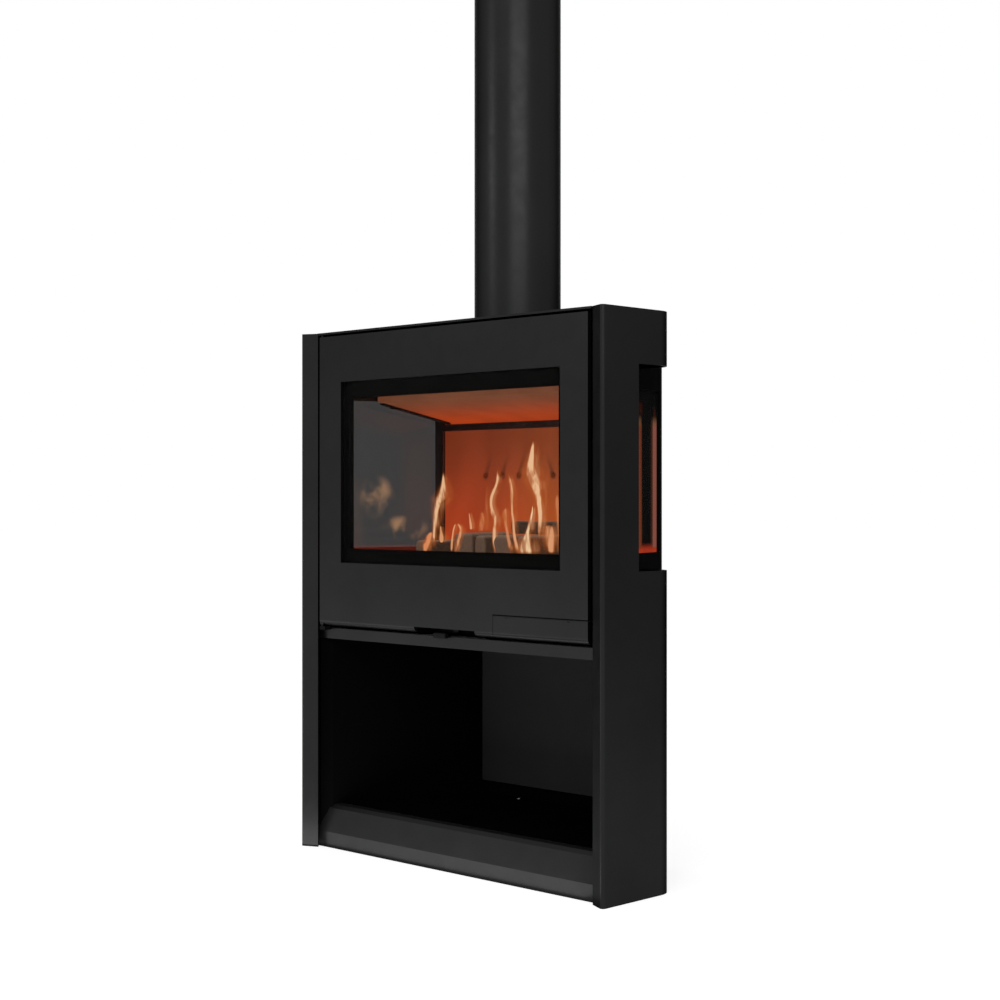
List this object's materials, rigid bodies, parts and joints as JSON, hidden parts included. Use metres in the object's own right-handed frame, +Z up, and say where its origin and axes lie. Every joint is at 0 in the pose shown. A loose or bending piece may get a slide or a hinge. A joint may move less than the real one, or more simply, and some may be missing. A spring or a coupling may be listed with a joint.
{
  "type": "wood stove with log store",
  "caption": "Floor-standing wood stove with a large glazed hinged door, glazed sides, a sliding air control, an open log store below and a vertical flue pipe.",
  "frame": {"origin": "centre of the footprint on the floor, under the middle of the bounding box", "axes": "+Z up along the flue pipe, -Y out through the door, +X to the right seen from the front"},
  "size_m": [0.735, 0.3272, 1.686],
  "materials": {
    "black_paint": "matt heat-resistant paint",
    "inner_paint": "matt heat-resistant paint, inside",
    "bare_steel": "bare steel",
    "cast_iron": "sooty cast iron",
    "scorched_steel": "scaled steel in the fire",
    "fire_lining": "pressed vermiculite, sooty",
    "fireproof_glass": "glass ceramic, slightly smoked",
    "glass_rope": "woven glass fibre rope",
    "firewood": "split logs with charred faces"
  },
  "bodies": {
    "stove": {"column_left": "black_paint", "column_right": "black_paint", "top_plate": "black_paint", "rear_shield": "black_paint", "firebox_base": "inner_paint", "firebox_roof": "inner_paint", "firebox_back": "inner_paint", "front_frame": "inner_paint", "side_frame_left": "inner_paint", "side_frame_right": "inner_paint", "side_glass_left": "fireproof_glass", "side_glass_right": "fireproof_glass", "side_seal_left": "glass_rope", "side_seal_right": "glass_rope", "side_glass_clips": "inner_paint", "back_liner": "fire_lining", "floor_liner": "fire_lining", "grate": "cast_iron", "log_guard": "cast_iron", "baffle": "fire_lining", "baffle_tube": "scorched_steel", "baffle_brackets": "scorched_steel", "rear_angles": "scorched_steel", "flue_collar": "inner_paint", "flue_pipe": "black_paint", "air_box": "inner_paint", "fresh_air_spigot": "bare_steel", "ash_pan": "bare_steel", "shelf": "black_paint", "store_wall_left": "inner_paint", "store_wall_right": "inner_paint", "store_back": "inner_paint", "store_back_panel": "black_paint", "store_floor": "black_paint", "plinth": "black_paint", "base_runners": "inner_paint", "levelling_feet": "bare_steel", "hinge_pin_upper": "bare_steel", "hinge_pin_lower": "bare_steel", "hinge_bracket": "inner_paint", "catch_ledge": "bare_steel", "firewood": "firewood", "body_screws": "bare_steel"},
    "door": {"door_panel": "black_paint", "door_inner_frame": "inner_paint", "door_glass": "fireproof_glass", "door_glass_seal": "glass_rope", "door_seal": "glass_rope", "door_screws": "bare_steel", "handle_lugs": "black_paint", "handle_pin": "bare_steel"},
    "handle": {"handle_flap": "black_paint", "catch_arm": "bare_steel", "catch_roller": "bare_steel"},
    "air_control": {"air_slide": "bare_steel", "air_lever": "bare_steel", "air_knob": "black_paint"}
  },
  "joints": [
    {"name": "door_swing", "type": "hinge", "parent": "stove", "child": "door", "pos_m": [-0.322, -0.14994, 0.668], "axis": [0, 0, -1], "range_deg": [0, 105]},
    {"name": "handle_tilt", "type": "hinge", "parent": "door", "child": "handle", "pos_m": [0.222, -0.15094, 0.4405], "axis": [-1, 0, 0], "range_deg": [0, 25], "stiffness_Nm_per_rad": 1.2},
    {"name": "air_slide_travel", "type": "slide", "parent": "stove", "child": "air_control", "axis": [1, 0, 0], "range_m": [-0.04, 0.06]}
  ]
}
